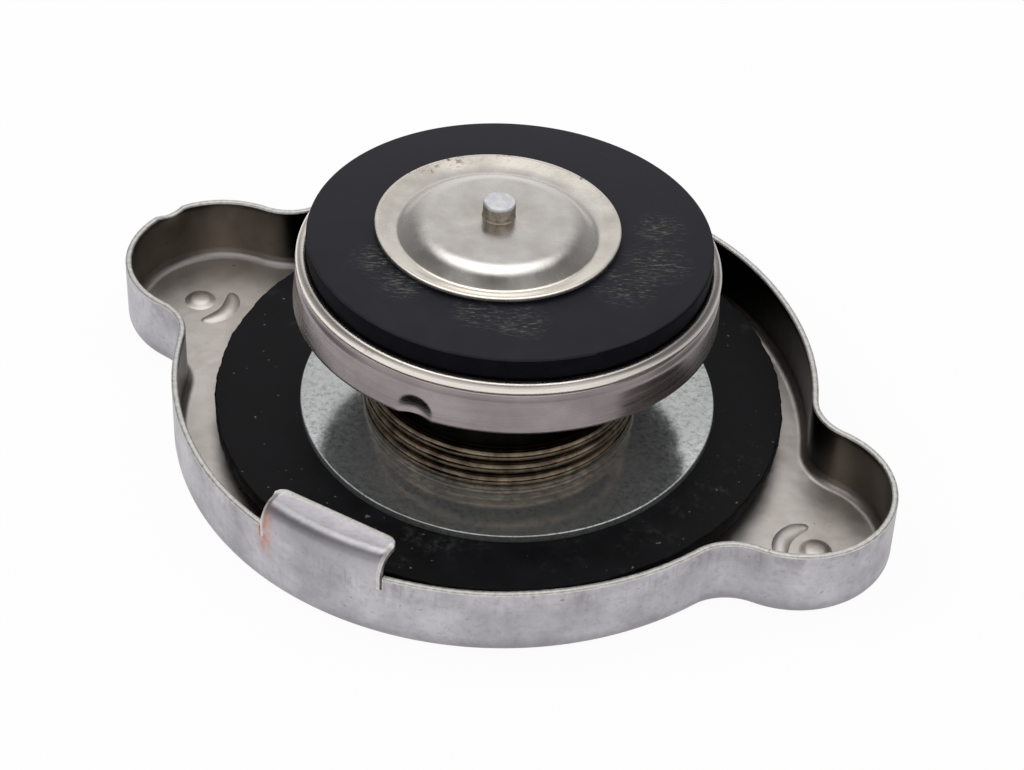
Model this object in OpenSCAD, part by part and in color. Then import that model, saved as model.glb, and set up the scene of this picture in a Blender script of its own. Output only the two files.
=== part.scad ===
// Pressure radiator cap: a pressed sheet shell with two finger ears and two bayonet lugs,
// carrying a sprung pressure valve with a small vacuum valve in its middle.
// The cap lies on its crown, valve side up. Z is the cap's axis, the ears lie along X,
// the lugs close to Y, and the origin is the middle of the crown's outer face.

/* [Cap shell] */
// Outer diameter of the round body
body_d = 68.7; // [60:0.1:76]
// Distance between the centres of the two ears
ear_spread = 70.8; // [64:0.1:78]
// Outer diameter of each ear
ear_d = 20.9; // [16:0.1:24]
// Outside radius of the hollow blend between body and ear
neck_r = 5.4; // [3:0.1:8]
// Height of the skirt from the crown's outer face to the rim
skirt_h = 8.35; // [7:0.05:10.5]
// Thickness of the pressed sheet
sheet_t = 0.7; // [0.5:0.05:0.9]
// Outer radius of the bend between crown and skirt
crown_bend_r = 1.6; // [1.2:0.1:2.4]

/* [Crown centre] */
// Diameter of the flat seat pressed inward at the crown's middle
boss_d = 19; // [16:0.5:24]
// Width of the sloped step round the seat
boss_slope_w = 2.2; // [1.4:0.1:3]
// Height of the seat over the crown's floor
boss_h = 1.7; // [1:0.05:2.2]

/* [Locking lugs] */
// Angle that each lug takes up at the rim
lug_angle = 24; // [16:1:30]
// Angle by which the lugs sit off the line square to the ears
lug_turn = 1.1; // [-3:0.1:3]
// Height of the lug's top over the rim
lug_rise = 2.4; // [1.8:0.1:3]
// How far the lug reaches inward from the skirt's outer face
lug_reach = 4.4; // [3.5:0.1:5.5]
// Outer radius of the lug's inward bend
lug_bend_r = 2.2; // [1.4:0.1:2.6]
// Radius of the lug's two free corners, seen from above
lug_corner_r = 1.2; // [0.6:0.1:2.2]
// Width of the relief slit at each end of a lug
slit_w = 0.3; // [0.2:0.05:0.8]
// Depth of the relief slit below the rim
slit_h = 1.5; // [1:0.1:2.5]

/* [Ear pressings] */
// Diameter of the round dimple in each ear's floor
dimple_d = 2.8; // [2:0.1:3.6]
// How far the dimple stands up from the floor
dimple_h = 0.45; // [0.3:0.05:0.6]
// Distance of the dimple from the ear's centre, outward
dimple_offset = 3; // [1.5:0.1:4]
// Mean radius of the curved ridge round the dimple
ridge_r = 3.6; // [3.2:0.1:4.8]
// Width of the curved ridge
ridge_w = 1.1; // [0.8:0.1:1.4]
// Angle that the curved ridge takes up
ridge_angle = 110; // [60:5:160]

/* [Outer gasket] */
// How far the edge of the spring disc lies inside the gasket's edge
spring_disc_inset = 3.5; // [2:0.5:7]
// Thickness of the spring disc
spring_disc_t = 0.35; // [0.25:0.05:0.6]
// Room between the skirt's inner face and the rubber gasket that seals on the filler neck's rim
gasket_room = 3.15; // [2.4:0.05:5]
// Thickness of the gasket
gasket_t = 1.6; // [1.2:0.1:2.4]
// How far the loose gasket sits off the axis, along Y
gasket_shift = 0.9; // [0:0.1:1]

/* [Backing plate] */
// Diameter of the galvanised plate that clamps the gasket and seats the spring
plate_d = 44.2; // [40:0.2:48]
// Thickness of the backing plate
plate_t = 0.9; // [0.6:0.05:1.4]
// How far the loose plate sits off the axis, along X
plate_shift = 1.5; // [0:0.1:2]

/* [Centre rivet] */
// Shank diameter of the rivet that holds the stack to the crown
rivet_d = 5; // [4:0.1:6]
// Diameter of the rivet's head in the crown's recess
rivet_head_d = 10; // [8:0.2:12]
// Thickness of the rivet's head
rivet_head_t = 0.7; // [0.5:0.05:0.75]
// Diameter of the closed rivet end inside the bell
rivet_upset_d = 9; // [7:0.2:10]
// Height of the closed rivet end
rivet_upset_t = 0.7; // [0.5:0.05:1]

/* [Valve eyelet] */
// Outer diameter of the eyelet's tube
tube_d = 15; // [13.6:0.1:17]
// Wall of the eyelet's tube
tube_t = 0.7; // [0.5:0.05:0.9]
// Width of the eyelet's head outside the tube, which clamps the seal
eyelet_head_w = 1.9; // [1.4:0.1:2.4]
// Thickness of the eyelet's head
eyelet_head_t = 0.6; // [0.4:0.05:0.8]
// Thickness of the eyelet's flared lower flange
flange_t = 0.8; // [0.6:0.05:1]
// How far the flange reaches outward under the bell's lip
lip_catch = 1.1; // [1:0.1:2]
// Depth of the vacuum spring's seat below the seal's face
seat_depth = 6; // [4.5:0.1:7]
// Thickness of the spring seat's web
seat_t = 0.6; // [0.5:0.05:0.8]

/* [Guide bell] */
// Height of the bell over the backing plate
bell_h = 10; // [9:0.1:10.4]
// Thickness of the bell's wall, floor and lip
bell_t = 0.7; // [0.5:0.05:0.8]
// Diameter of the vent holes in the bell's wall
vent_d = 3; // [2:0.1:4]
// Number of vent holes
vent_count = 3; // [2:1:4]

/* [Pressure spring] */
// Wire diameter
wire_d = 1.5; // [1.2:0.05:1.7]
// Closed turns on the backing plate
closed_turns = 2.75; // [1:0.25:3]
// Open turns
open_turns = 1.6; // [1.4:0.1:3]
// Closed turns under the valve pan
top_turns = 1; // [0.75:0.25:1.25]
// Angle at which the wire starts on the backing plate
spring_start = 120; // [0:5:355]
// How far the spring's foot sits off the axis
spring_shift = 1.35; // [0:0.05:1.5]
// Direction of that shift, seen from above
spring_shift_angle = 319; // [0:1:360]

/* [Valve pan and seal] */
// Distance from the gasket's face to the seal's face, valve closed
seal_reach = 21.3; // [20.5:0.1:24]
// Lean of the loosely held valve head, toward +Y
head_lean = 2.8; // [0:0.1:3]
// How far the loosely held valve head sits off the axis
head_shift = 0.75; // [0:0.05:1]
// Direction of that shift, seen from above
head_shift_angle = 37; // [0:1:360]
// Outer diameter of the rubber seal
seal_d = 42; // [38:0.2:46]
// Thickness of the seal
seal_t = 3; // [2.4:0.1:3.6]
// How far the pan's shoulder stands out round the seal
shoulder_w = 1.05; // [0.7:0.05:1.4]
// Depth of the pan, from its top face to its lower edge
pan_h = 5.2; // [4.6:0.1:6]
// Thickness of the pan's sheet
pan_t = 0.7; // [0.5:0.05:0.8]
// Depth of the rolled groove under the shoulder bead
groove_depth = 0.3; // [0.15:0.05:0.4]
// How far the pan's wall flares outward at its lower edge
pan_flare = 0.2; // [0:0.05:0.5]
// Radius of the half-round stakes punched into the pan's lower edge
stake_r = 1.9; // [1.4:0.1:2.2]
// How far a stake is pushed inward from the pan's wall
stake_push = 0.55; // [0.3:0.05:0.6]

/* [Vacuum valve] */
// Outer diameter of the dished vacuum disc
disc_d = 25.4; // [24:0.2:27]
// Sheet thickness of the vacuum disc
disc_t = 0.5; // [0.4:0.05:0.7]
// Outer diameter of the disc's raised middle
dome_d = 20.6; // [17:0.2:21]
// Height of the raised middle over the disc's rim
dome_h = 1.4; // [1:0.1:1.8]
// Outer radius of the raised middle's shoulder
dome_r = 3.5; // [2:0.1:4]
// Slope of the raised middle's side
dome_slope = 35; // [30:1:40]
// Diameter of the stub that stands on the disc
stub_d = 3.4; // [2.8:0.1:4]
// Height of the stub
stub_h = 1.85; // [1:0.05:2.2]
// Diameter of the stem
stem_d = 2.4; // [2:0.1:2.6]
// How far the loose vacuum valve sits off the head's axis
vacuum_shift = 1.45; // [0:0.05:1.5]
// Direction of that shift, seen from above
vacuum_shift_angle = 187; // [0:1:360]
// Opening travel of the vacuum valve
vacuum_travel = 2; // [1.5:0.1:2]
// Wire diameter of the vacuum spring
fine_wire_d = 0.5; // [0.4:0.05:0.6]
// Turns of the vacuum spring
fine_turns = 4; // [3:0.5:4.5]
// Thickness of the retaining washer at the stem's end
washer_t = 0.6; // [0.4:0.05:0.8]

/* [Hidden] */
$fn = 96;

// Clearances
running_fit = 0.05;
loose_fit = 0.3;
lip_slack = 0.1;
bell_room = 0.25;
spring_room = 0.4;
seat_room = 0.2;
flush_gap = 0.1;
washer_room = 0.45;
overlap = 0.2;

// Joins of the skirt's arcs: how far each runs into the next, and the hair's breadth between their faces
seam_overlap = 0.1;
seam_step = 0.02;
floor_strip = 1.6;
bend_steps = 6;

// Share of a closed turn that lies flat before the wire steps up
flat_share = 0.6;

// Shell plan: body, ears and the centre of each hollow blend, which touches both circles
body_r = body_d / 2;
ear_r = ear_d / 2;
ear_x = ear_spread / 2;
blend_x = (pow(body_r + neck_r, 2) - pow(ear_r + neck_r, 2) + ear_x * ear_x) / (2 * ear_x);
blend_y = sqrt(pow(body_r + neck_r, 2) - blend_x * blend_x);
blend_body_angle = atan2(blend_y, blend_x);
blend_ear_angle = atan2(blend_y, blend_x - ear_x);

// Discs of the clamped stack, from the skirt inward
gasket_r = body_r - sheet_t - gasket_room;
spring_disc_r = gasket_r - spring_disc_inset;

// Heights of the clamped stack, from the crown's outer face
boss_top = boss_h + sheet_t;
gasket_z = boss_top + spring_disc_t;
plate_z = gasket_z + gasket_t;
bell_z = plate_z + plate_t;
bell_floor = bell_z + bell_t;
lip_z = bell_z + bell_h;
seal_face_z = plate_z + seal_reach;

// Eyelet, bell and spring, from the inside out
tube_r = tube_d / 2;
bore_r = tube_r - tube_t;
lip_hole_r = tube_r + head_shift + loose_fit;
flange_r = lip_hole_r + lip_catch;
lip_gap = flange_r * sin(head_lean) + lip_slack;
bell_r = flange_r + head_shift + bell_room + bell_t;
coil_r = bell_r + spring_shift + spring_room + wire_d / 2;
rivet_r = rivet_d / 2;
rivet_hole_r = rivet_r + running_fit;

// Sideways shifts of the loose pieces
head_offset = head_shift * [cos(head_shift_angle), sin(head_shift_angle)];
spring_offset = spring_shift * [cos(spring_shift_angle), sin(spring_shift_angle)];
vacuum_offset = vacuum_shift * [cos(vacuum_shift_angle), sin(vacuum_shift_angle)];

// Valve head, measured from the middle of the seal's face, along the head's own axis
pan_top = -seal_t;
pan_inside = pan_top - pan_t;
pan_edge = pan_top - pan_h;
flange_top = lip_z - bell_t - lip_gap - seal_face_z;
flange_bottom = flange_top - flange_t;
eyelet_top = -flush_gap;
eyelet_under = eyelet_top - eyelet_head_t;
eyelet_head_r = tube_r + eyelet_head_w;
pan_r = seal_d / 2 + shoulder_w;

// Vacuum valve, on its own shifted axis in the head
stem_r = stem_d / 2;
seat_hole_r = stem_r + vacuum_shift + seat_room;
fine_coil_r = seat_hole_r + fine_wire_d / 2 + seat_room;
washer_r = bore_r - vacuum_shift - washer_room;
washer_bottom = flange_bottom + flange_t + lip_gap;
washer_top = washer_bottom + washer_t;
fine_spring_top = -seat_depth - seat_t;
dome_top = disc_t + dome_h;

// Places a piece of the valve head, which sits off the axis and leans at the bell's lip
module on_head() {
    translate([head_offset.x, head_offset.y, lip_z])
        rotate([-head_lean, 0, 0])
            translate([0, 0, seal_face_z - lip_z])
                children();
}

// Places a piece of the vacuum valve, which hangs loose in the eyelet
module on_vacuum_axis() {
    on_head()
        translate([vacuum_offset.x, vacuum_offset.y, 0])
            children();
}

// Turns the half section drawn by its children into a round part
module turned() {
    rotate_extrude()
        children();
}

// A rectangle given by two corners
module plate_section(r_in, r_out, z_low, z_high) {
    translate([r_in, z_low])
        square([r_out - r_in, z_high - z_low]);
}

// Points along an arc of a section
function arc_points(centre, r, from, to) =
    [for (i = [0:bend_steps]) let (a = from + (to - from) * i / bend_steps) centre + r * [cos(a), sin(a)]];

// Skirt with its crown bend and a strip of the floor, outer face at X = 0, sheet toward -X
module skirt_section(height) {
    centre = [-crown_bend_r, crown_bend_r];
    strip_end = -crown_bend_r - floor_strip;
    polygon(concat([[strip_end, sheet_t], [strip_end, 0]],
                   arc_points(centre, crown_bend_r, -90, 0),
                   [[0, height], [-sheet_t, height]],
                   arc_points(centre, crown_bend_r - sheet_t, 0, -90)));
}

// One arc of the skirt about its own centre, run a little past both ends into its neighbours;
// a hollow arc has its sheet outside the radius
module skirt_arc(r, from, to, hollow = false) {
    past = seam_overlap / r * 180 / PI;
    rotate([0, 0, from - past])
        rotate_extrude(angle = to - from + 2 * past)
            translate([r, 0])
                mirror([hollow ? 1 : 0, 0])
                    skirt_section(hollow ? skirt_h - seam_step : skirt_h);
}

// The crown's flat floor, out to the middle of the floor strips
module floor_plan() {
    inset = crown_bend_r + floor_strip / 2;
    circle(body_r - inset);
    for (side = [-1, 1]) {
        translate([side * ear_x, 0])
            circle(ear_r - inset);
        difference() {
            polygon([[0, 0], [side * blend_x, -blend_y], [side * ear_x, 0], [side * blend_x, blend_y]]);
            for (y = [-blend_y, blend_y])
                translate([side * blend_x, y])
                    circle(neck_r + inset + overlap);
        }
    }
}

// The whole skirt: two body arcs, two ears and four hollow blends
module skirt() {
    hollow_r = neck_r + seam_step;
    for (half = [0, 180])
        rotate([0, 0, half]) {
            skirt_arc(body_r, blend_body_angle, 180 - blend_body_angle);
            translate([ear_x, 0])
                skirt_arc(ear_r, -blend_ear_angle, blend_ear_angle);
            translate([blend_x, blend_y])
                skirt_arc(hollow_r, 180 + blend_body_angle, 180 + blend_ear_angle, hollow = true);
            translate([blend_x, -blend_y])
                skirt_arc(hollow_r, 180 - blend_ear_angle, 180 - blend_body_angle, hollow = true);
        }
}

// Seat for the rivet, pressed inward at the crown's middle
module crown_boss() {
    foot_r = boss_d / 2 + boss_slope_w;
    turned()
        polygon([[rivet_hole_r, boss_h], [boss_d / 2, boss_h], [foot_r, 0], [foot_r + overlap, 0],
                 [foot_r + overlap, sheet_t], [foot_r, sheet_t], [boss_d / 2, boss_top],
                 [rivet_hole_r, boss_top]]);
}

// Bayonet lug: the skirt carried up past the rim and bent inward, with parallel sides and a straight tip
module lug() {
    tip = body_r - lug_reach;
    half_w = body_r * sin(lug_angle / 2);
    sweep = 2 * asin(half_w / (tip - 2 * overlap));
    top = skirt_h + lug_rise;
    bend_centre = [body_r - lug_bend_r, top - lug_bend_r];
    intersection() {
        rotate([0, 0, -sweep / 2])
            rotate_extrude(angle = sweep)
                polygon(concat([[body_r - sheet_t - seam_step, skirt_h - overlap], [body_r - seam_step, skirt_h - overlap]],
                               arc_points(bend_centre, lug_bend_r - seam_step, 0, 90),
                               [[tip - overlap, top], [tip - overlap, top - sheet_t]],
                               arc_points(bend_centre, lug_bend_r - sheet_t - seam_step, 90, 0)));
        linear_extrude(top + overlap)
            union() {
                translate([tip + lug_corner_r, -half_w])
                    square([body_r, 2 * half_w]);
                translate([tip, -half_w + lug_corner_r])
                    square([body_r, 2 * (half_w - lug_corner_r)]);
                for (y = [-half_w + lug_corner_r, half_w - lug_corner_r])
                    translate([tip + lug_corner_r, y])
                        circle(lug_corner_r);
            }
    }
}

// Relief slits cut into the rim at both ends of a lug, nicking the lug's root
module lug_slits() {
    nick = slit_w / 4;
    for (side = [-1, 1])
        rotate([0, 0, side * lug_angle / 2])
            translate([body_r - sheet_t - overlap, side > 0 ? -nick : nick - slit_w, skirt_h - slit_h])
                cube([sheet_t + 2 * overlap, slit_w, slit_h + slit_w]);
}

// Dimple and curved ridge of one ear; narrow gives the smaller shape of the hollow underneath
module ear_pressing(z_low, z_high, narrow) {
    translate([ear_x + dimple_offset, 0]) {
        translate([0, 0, z_low])
            cylinder(h = z_high - z_low, r1 = dimple_d / 2 + z_high - z_low - narrow, r2 = dimple_d / 2 - narrow);
        rotate([0, 0, 180 - ridge_angle / 2])
            rotate_extrude(angle = ridge_angle)
                plate_section(ridge_r - ridge_w / 2 + narrow / 2, ridge_r + ridge_w / 2 - narrow / 2,
                              z_low, z_high);
    }
}

// Crown floor with a dimple and a ridge pressed into each ear
module crown_floor() {
    difference() {
        union() {
            linear_extrude(sheet_t)
                difference() {
                    floor_plan();
                    circle(boss_d / 2 + boss_slope_w);
                }
            for (half = [0, 180])
                rotate([0, 0, half])
                    ear_pressing(sheet_t, sheet_t + dimple_h, 0);
        }
        for (half = [0, 180])
            rotate([0, 0, half])
                ear_pressing(-overlap, dimple_h, sheet_t / 2);
    }
}

// Pressed sheet shell
module cap_shell() color("silver") {
    difference() {
        union() {
            crown_floor();
            crown_boss();
            skirt();
            for (half = [0, 180])
                rotate([0, 0, half + 90 - lug_turn])
                    lug();
        }
        for (half = [0, 180])
            rotate([0, 0, half + 90 - lug_turn])
                lug_slits();
    }
}

// Thin steel disc that keeps the gasket flat
module spring_disc() color("lightgray")
    turned()
        plate_section(rivet_hole_r, spring_disc_r, boss_top, gasket_z);

// Rubber ring that seals on the filler neck's rim
module outer_gasket() color([0.12, 0.12, 0.13])
    translate([0, gasket_shift, 0])
        turned()
            plate_section(rivet_r + gasket_shift + loose_fit, gasket_r, gasket_z, plate_z);

// Galvanised plate that clamps the gasket and seats the spring
module backing_plate() color("gainsboro")
    translate([plate_shift, 0, 0])
        turned()
            plate_section(rivet_r + plate_shift + loose_fit, plate_d / 2, plate_z, bell_z);

// Drawn cup inside the spring, with an in-turned lip that holds the valve head
module guide_bell() color([0.15, 0.15, 0.16])
    difference() {
        turned() {
            plate_section(rivet_r, bell_r, bell_z, bell_floor);
            plate_section(bell_r - bell_t, bell_r, bell_z, lip_z);
            plate_section(lip_hole_r, bell_r, lip_z - bell_t, lip_z);
        }
        for (k = [0:vent_count - 1])
            rotate([0, 0, k * 360 / vent_count])
                translate([0, 0, (bell_floor + lip_z) / 2])
                    rotate([0, 90, 0])
                        cylinder(h = bell_r + overlap, d = vent_d);
    }

// Rivet that holds the stack to the crown, on which the crown can turn
module centre_rivet() color("darkgray")
    turned() {
        plate_section(0, rivet_head_d / 2, boss_h - rivet_head_t, boss_h);
        plate_section(0, rivet_r, boss_h - rivet_head_t, bell_floor + rivet_upset_t);
        plate_section(0, rivet_upset_d / 2, bell_floor, bell_floor + rivet_upset_t);
    }

// Wire widths climbed after a number of closed turns: each lies flat, then steps up smoothly
function closed_rise(turn) =
    let (whole = floor(turn),
         step = max(0, (turn - whole - flat_share) / (1 - flat_share)))
    whole + step * step * (3 - 2 * step);

// Share of the coil's height reached after a number of turns: closed, open, then closed turns
function coil_rise(turn, low, open, high, wire, height) =
    let (closed_pitch = min(wire + seam_step, height / (low + open + high)),
         open_from = closed_rise(low) * closed_pitch,
         open_to = height - closed_rise(high) * closed_pitch)
    (turn < low ? closed_rise(turn) * closed_pitch
     : turn < low + open ? open_from + (turn - low) / open * (open_to - open_from)
     : height - closed_rise(low + open + high - turn) * closed_pitch) / height;

// A wire coil between two ends, each on its own centre; lean tilts its far end toward +Y
module coil(r, wire, z_from, z_to, foot, top, low, open, high, start, lean, per_turn, sides) {
    turns = low + open + high;
    up = z_to > z_from ? 1 : -1;
    height = abs(z_to - z_from) - wire;
    steps = ceil(turns * per_turn);
    rings = [for (i = [0:steps])
        let (turn = turns * i / steps,
             angle = start + 360 * turn,
             share = coil_rise(turn, low, open, high, wire, height),
             centre = foot + share * (top - foot),
             z = z_from + up * (wire / 2 + share * height) - share * r * sin(angle) * tan(lean))
        [for (k = [0:sides - 1])
            let (a = up * 360 * k / sides,
                 reach = r + wire / 2 * cos(a))
            [centre.x + reach * cos(angle), centre.y + reach * sin(angle), z + wire / 2 * sin(a)]]];
    points = [for (ring = rings) for (p = ring) p];
    walls = [for (i = [0:steps - 1]) for (k = [0:sides - 1])
        let (n = (k + 1) % sides)
        [i * sides + k, (i + 1) * sides + k, (i + 1) * sides + n, i * sides + n]];
    first = [for (k = [0:sides - 1]) k];
    last = [for (k = [sides - 1:-1:0]) steps * sides + k];
    polyhedron(points, concat(walls, [first], [last]), convexity = 8);
}

// Main spring, from the backing plate to the underside of the leaning pan
module pressure_spring() color("peru") {
    arm = seal_face_z + pan_inside - lip_z;
    coil(coil_r, wire_d, bell_z, lip_z + arm * cos(head_lean) - flush_gap,
         spring_offset, head_offset + [0, arm * sin(head_lean)],
         closed_turns, open_turns, top_turns, start = spring_start, lean = head_lean, per_turn = 28, sides = 8);
}

// Wall section of the pan: top plate, shoulder bead, groove and flared wall, as one outline
module pan_section() {
    bead_r = shoulder_w / 2;
    bead_end = -60;
    groove_r = pan_r - groove_depth;
    wall_top = pan_top - 2 * bead_r - groove_depth;
    polygon(concat([[tube_r + running_fit, pan_inside], [tube_r + running_fit, pan_top]],
                   arc_points([pan_r - bead_r, pan_top - bead_r], bead_r, 90, bead_end),
                   [[groove_r, wall_top + groove_depth / 2], [groove_r, wall_top],
                    [pan_r, wall_top - groove_depth], [pan_r + pan_flare, pan_edge],
                    [pan_r + pan_flare - pan_t, pan_edge], [pan_r - pan_t, wall_top - pan_t],
                    [groove_r - pan_t, wall_top], [groove_r - pan_t, pan_inside]]));
}

// Half-round plate standing on the pan's lower edge, facing along X
module stake(r, thickness) {
    rotate([0, 90, 0])
        intersection() {
            cylinder(h = thickness, r = r, center = true);
            translate([-r, -r, -thickness])
                cube([r, 2 * r, 2 * thickness]);
        }
}

// Drawn pan that carries the seal, with three half-round stakes pushed inward at its lower edge
module valve_pan() color("lightgray") {
    stake_count = 3;
    stake_angle = 278;
    edge_r = pan_r + pan_flare;
    on_head()
        union() {
            difference() {
                turned()
                    pan_section();
                for (k = [0:stake_count - 1])
                    rotate([0, 0, stake_angle + k * 360 / stake_count])
                        translate([edge_r, 0, pan_edge])
                            stake(stake_r, 4 * pan_t);
            }
            for (k = [0:stake_count - 1])
                rotate([0, 0, stake_angle + k * 360 / stake_count])
                    translate([edge_r - stake_push - pan_t / 2, 0, pan_edge + seam_step])
                        stake(stake_r + overlap, pan_t);
        }
}

// Rubber ring that seals on the neck's inner seat, with a step for the eyelet's head
module pressure_seal() color([0.16, 0.16, 0.19])
    on_head()
        turned()
            difference() {
                plate_section(tube_r + running_fit, seal_d / 2, pan_top, 0);
                plate_section(0, eyelet_head_r + loose_fit, eyelet_under, seal_t);
            }

// Flanged tube that clamps the seal to the pan and hangs in the bell's lip
module valve_eyelet() color("goldenrod")
    on_head()
        turned() {
            plate_section(bore_r, eyelet_head_r, eyelet_under, eyelet_top);
            plate_section(bore_r, tube_r, flange_bottom, eyelet_top);
            plate_section(bore_r, flange_r, flange_bottom, flange_top);
            plate_section(seat_hole_r, tube_r, -seat_depth - seat_t, -seat_depth);
        }

// Dished disc that closes the vacuum passage on the seal's face, drawn as one outline
module vacuum_disc() color("whitesmoke") {
    foot_r = dome_d / 2;
    disc_r = disc_d / 2;
    slope_w = (dome_h - dome_r * (1 - cos(dome_slope))) / tan(dome_slope);
    shoulder = [foot_r - slope_w - dome_r * sin(dome_slope), dome_top - dome_r];
    on_vacuum_axis()
        turned()
            polygon(concat([[stem_r, dome_top]],
                           arc_points(shoulder, dome_r, 90, 90 - dome_slope),
                           [[foot_r, disc_t], [disc_r, disc_t], [disc_r, 0],
                            [foot_r - disc_t * tan(dome_slope / 2), 0]],
                           arc_points(shoulder, dome_r - disc_t, 90 - dome_slope, 90),
                           [[stem_r, dome_top - disc_t]]));
}

// Stem riveted into the vacuum disc: stub on top, collar under the disc, closed end under the washer
module vacuum_stem() color("gainsboro") {
    collar_t = disc_t;
    on_vacuum_axis()
        turned() {
            plate_section(0, stub_d / 2, dome_top, dome_top + stub_h);
            plate_section(0, stem_r, washer_bottom - collar_t, dome_top);
            plate_section(0, stub_d / 2, dome_top - disc_t - collar_t, dome_top - disc_t);
            plate_section(0, stub_d / 2, washer_bottom - collar_t, washer_bottom);
        }
}

// Light spring that pulls the vacuum disc shut
module vacuum_spring() color("peru") {
    end_turns = 1;
    on_head()
        coil(fine_coil_r, fine_wire_d, fine_spring_top, washer_top, [0, 0], vacuum_offset,
             end_turns, fine_turns - 2 * end_turns, end_turns, start = 0, lean = 0, per_turn = 20, sides = 8);
}

// Retaining washer at the stem's end
module vacuum_washer() color("goldenrod")
    on_vacuum_axis()
        turned()
            plate_section(stem_r, washer_r, washer_bottom, washer_top);

cap_shell();
spring_disc();
outer_gasket();
backing_plate();
guide_bell();
centre_rivet();
pressure_spring();
valve_pan();
pressure_seal();
valve_eyelet();
vacuum_disc();
vacuum_stem();
vacuum_spring();
vacuum_washer();
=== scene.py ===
from math import atan2, ceil, cos, degrees, floor, pi, radians, sin, sqrt, tan

import bmesh
import bpy
from mathutils import Matrix, Vector


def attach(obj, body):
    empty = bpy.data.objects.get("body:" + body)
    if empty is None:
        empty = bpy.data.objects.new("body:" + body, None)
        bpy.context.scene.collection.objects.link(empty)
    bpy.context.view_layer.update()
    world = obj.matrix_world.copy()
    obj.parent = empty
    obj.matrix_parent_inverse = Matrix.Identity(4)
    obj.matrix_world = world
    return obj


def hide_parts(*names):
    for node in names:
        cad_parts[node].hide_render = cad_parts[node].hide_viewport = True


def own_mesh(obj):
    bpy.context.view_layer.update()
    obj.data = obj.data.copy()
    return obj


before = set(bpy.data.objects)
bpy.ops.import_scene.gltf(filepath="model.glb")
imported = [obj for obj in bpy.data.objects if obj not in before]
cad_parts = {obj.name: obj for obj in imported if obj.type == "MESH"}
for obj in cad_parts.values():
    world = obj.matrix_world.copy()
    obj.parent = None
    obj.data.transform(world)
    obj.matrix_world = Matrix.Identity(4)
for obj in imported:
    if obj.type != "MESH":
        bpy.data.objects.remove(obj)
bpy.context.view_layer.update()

# Table and light tent
# The cap lies on white paper in a white tent: bright low down, dim in the back's corners, with a wide
# soft box overhead, set a little back, and a dark flap in front of it.
# The paper shows white to the eye and nearly so in the metal, keeps a faint shadow, and dims far in front.


def add_node(tree, kind, inputs=None, **settings):
    """A shader node with its settings, and with its sockets joined to others or set to plain values."""
    made = tree.nodes.new("ShaderNode" + kind)
    for key, value in settings.items():
        setattr(made, key, value)
    for key, value in (inputs or {}).items():
        if isinstance(value, bpy.types.NodeSocket):
            tree.links.new(value, made.inputs[key])
        else:
            made.inputs[key].default_value = value
    return made


def either(tree, first, second):
    """The larger of two values."""
    return add_node(tree, "Math", {0: first, 1: second}, operation="MAXIMUM").outputs[0]


def times(tree, first, second):
    return add_node(tree, "Math", {0: first, 1: second}, operation="MULTIPLY").outputs[0]


def without_sign(tree, value):
    return add_node(tree, "Math", {0: value}, operation="ABSOLUTE").outputs[0]


def toward(tree, where, way):
    """How far a place lies in a direction."""
    return add_node(tree, "VectorMath", {0: where, 1: way}, operation="DOT_PRODUCT").outputs["Value"]


def off_middle(tree, where):
    """How far a place lies from the middle."""
    return add_node(tree, "VectorMath", {0: where}, operation="LENGTH").outputs["Value"]


def ramp(tree, value, low, high, at_low=0.0, at_high=1.0):
    """Carries a value from one range to another and keeps it inside."""
    return add_node(tree, "MapRange", {"Value": value, "From Min": low, "From Max": high,
                                       "To Min": at_low, "To Max": at_high}).outputs[0]


photo_turn = radians(28.7)
photo_right, photo_front = (0.877, 0.48, 0.0), (0.48, -0.877, 0.0)
flap_way = (0.0, -0.276, 0.961)
white = (1.0, 1.0, 1.0, 1.0)
tent = bpy.data.worlds.new("light_tent")
bpy.context.scene.world = tent
tent.use_nodes = True
tent_tree = tent.node_tree
tent_tree.nodes.clear()
tent_way = add_node(tent_tree, "TexCoord").outputs["Generated"]
tent_turned = add_node(tent_tree, "Mapping", {"Vector": tent_way,
                                              "Rotation": (0.0, 0.0, -photo_turn)}).outputs[0]
tent_parts = add_node(tent_tree, "SeparateXYZ", {0: tent_turned}).outputs
tent_walls = ramp(tent_tree, tent_parts["Z"], 0.3, 0.57, 1.0, 0.6)
tent_corners = ramp(tent_tree, without_sign(tent_tree, tent_parts["X"]), 0.06, 0.5, 1.0, 0.3)
tent_front = ramp(tent_tree, tent_parts["Y"], -0.35, 0.05, 0.92, 0.0)
tent_sides = either(tent_tree, tent_front, tent_corners)
tent_flap = ramp(tent_tree, toward(tent_tree, tent_turned, flap_way), 0.94, 0.98, 1.0, 0.26)
tent_dim = times(tent_tree, tent_sides, tent_flap)
tent_box = add_node(tent_tree, "Mapping", {"Vector": tent_turned, "Location": (0.0, -0.8, 0.0),
                                           "Scale": (2.0, 2.4, 0.0)}).outputs[0]
tent_above = ramp(tent_tree, tent_parts["Z"], 0.3, 0.5)
tent_lamp = ramp(tent_tree, off_middle(tent_tree, tent_box), 0.5, 1.1, 2.1, 0.0)
tent_glow = times(tent_tree, tent_above, tent_lamp)
tent_share = either(tent_tree, tent_glow, times(tent_tree, tent_walls, tent_dim))
tent_ray = add_node(tent_tree, "LightPath").outputs
tent_shown = either(tent_tree, tent_share, tent_ray["Is Camera Ray"])
tent_light = add_node(tent_tree, "Background", {"Color": white, "Strength": 0.62})
tent_seen = add_node(tent_tree, "Background", {"Color": white, "Strength": tent_shown})
tent_picked = either(tent_tree, tent_ray["Is Camera Ray"], tent_ray["Is Glossy Ray"])
tent_mix = add_node(tent_tree, "MixShader", {0: tent_picked, 1: tent_light.outputs[0],
                                             2: tent_seen.outputs[0]})
add_node(tent_tree, "OutputWorld", {"Surface": tent_mix.outputs[0]})

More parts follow.
